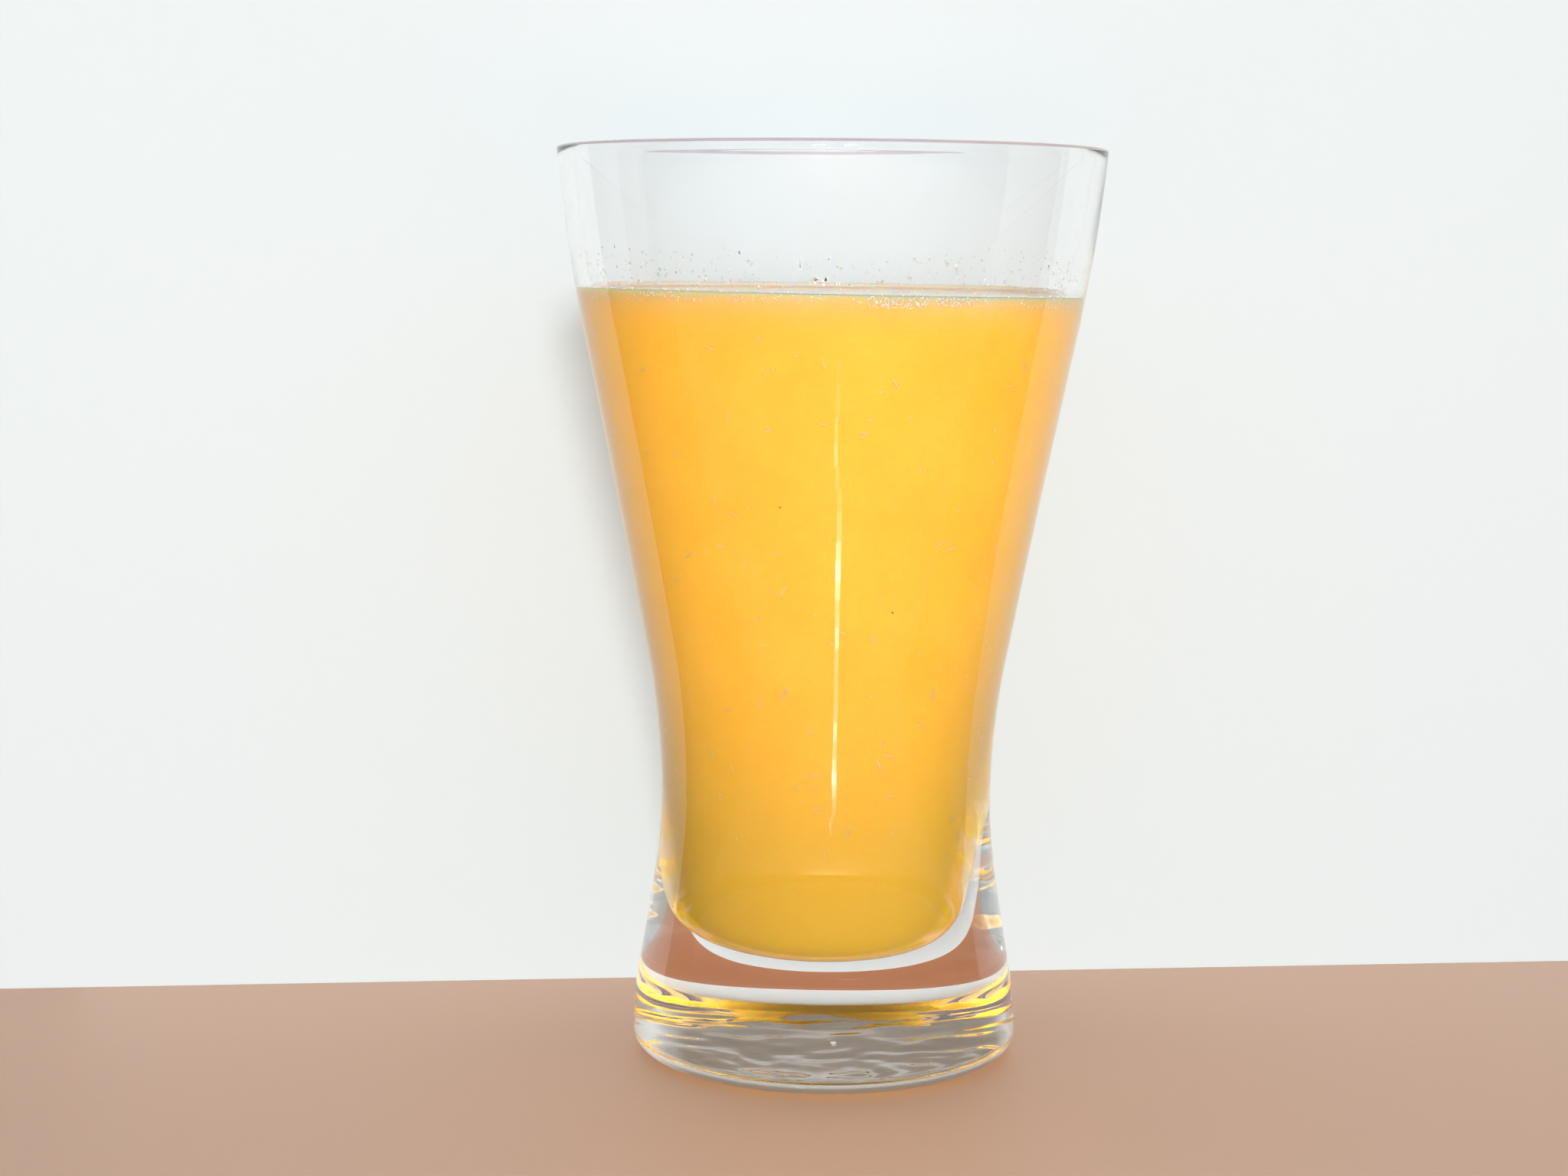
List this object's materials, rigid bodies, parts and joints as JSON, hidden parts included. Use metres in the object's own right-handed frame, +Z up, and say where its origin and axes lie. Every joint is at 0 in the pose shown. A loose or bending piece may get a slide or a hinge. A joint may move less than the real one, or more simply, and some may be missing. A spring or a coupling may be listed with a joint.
{
  "type": "glass of fruit juice",
  "caption": "Flared clear tumbler with a narrow waist and a heavy solid base, filled with cloudy yellow-orange fruit juice to just below the rim.",
  "frame": {"origin": "centre of the underside, on the surface that the glass stands on", "axes": "+Z up along the axis of the glass, its longest side; +X towards the side where the wall at the base is a little thicker"},
  "size_m": [0.084, 0.084, 0.1407],
  "materials": {
    "clear_glass": "clear and polished, with a slightly uneven underside",
    "fruit_juice": "cloudy yellow-orange liquid with fine pale pulp"
  },
  "bodies": {
    "root": {"glass": "clear_glass", "juice": "fruit_juice"}
  },
  "joints": []
}
